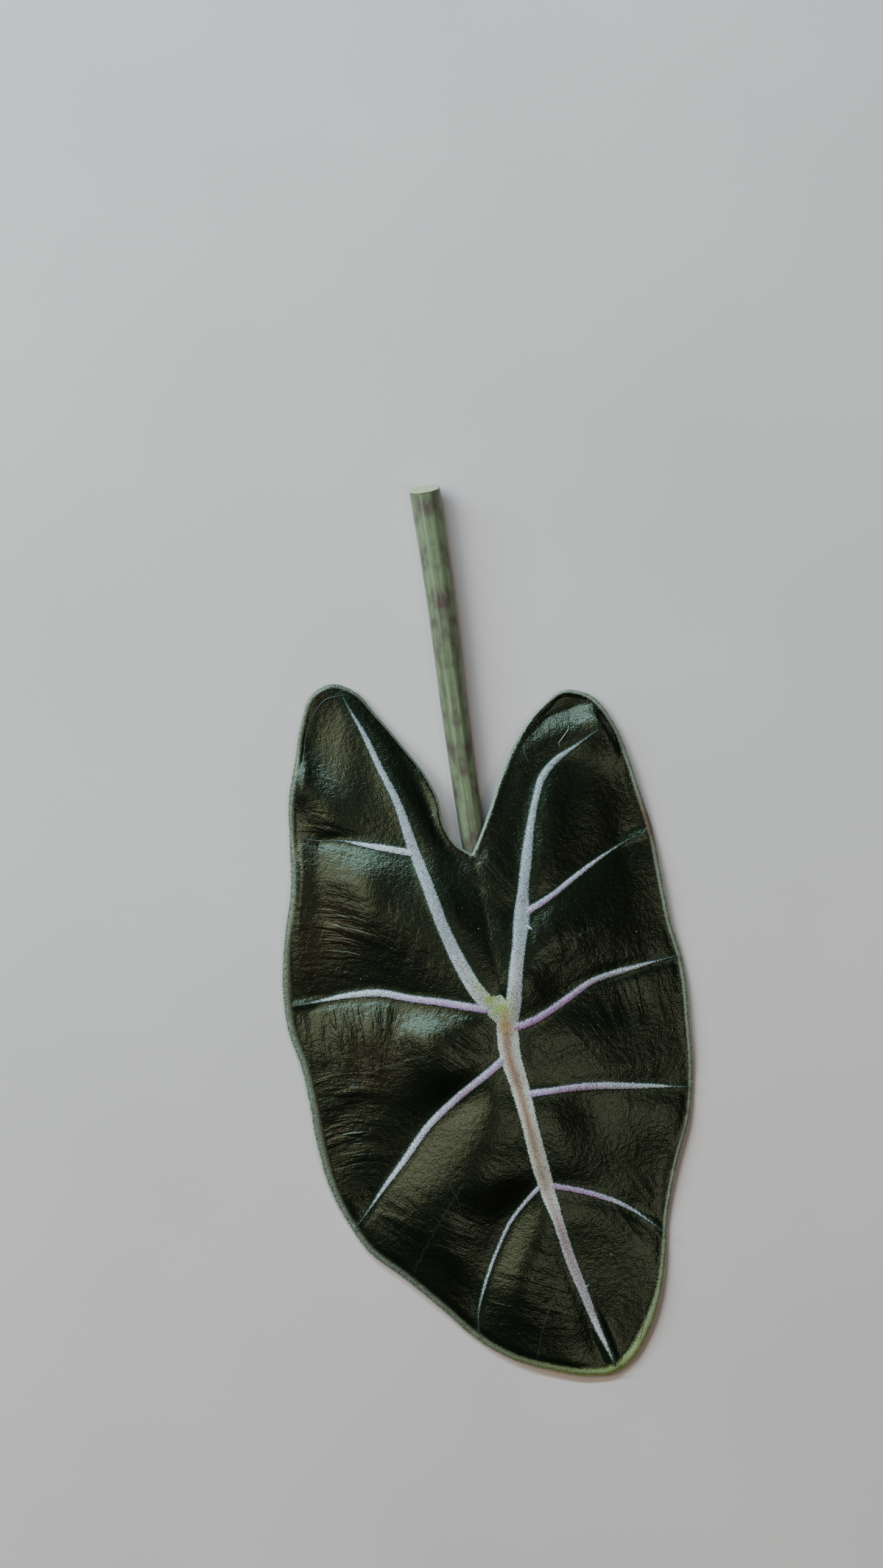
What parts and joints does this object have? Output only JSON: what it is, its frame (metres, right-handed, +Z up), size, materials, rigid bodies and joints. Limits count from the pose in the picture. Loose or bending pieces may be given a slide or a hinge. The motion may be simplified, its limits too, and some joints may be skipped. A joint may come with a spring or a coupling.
{
  "type": "alocasia leaf",
  "caption": "Picked arrow-shaped alocasia leaf lying blade up, with a glossy near-black waved blade, broad pale ribs and a cut stalk.",
  "frame": {"origin": "middle of the leaf's outer box, on the surface that it lies on", "axes": "+Y along the leaf from its tip to the cut end of its stalk, +Z up out of the blade's upper face"},
  "size_m": [0.0858, 0.1936, 0.011],
  "materials": {
    "leaf_blade": "waxy satin, near-black green, pebbled",
    "leaf_ribs": "granular, chalky pale grey",
    "leaf_stalk": "smooth satin, pale green flushed brown"
  },
  "bodies": {
    "root": {"leaf_blade": "leaf_blade", "leaf_ribs": "leaf_ribs", "leaf_stalk": "leaf_stalk"}
  },
  "joints": []
}
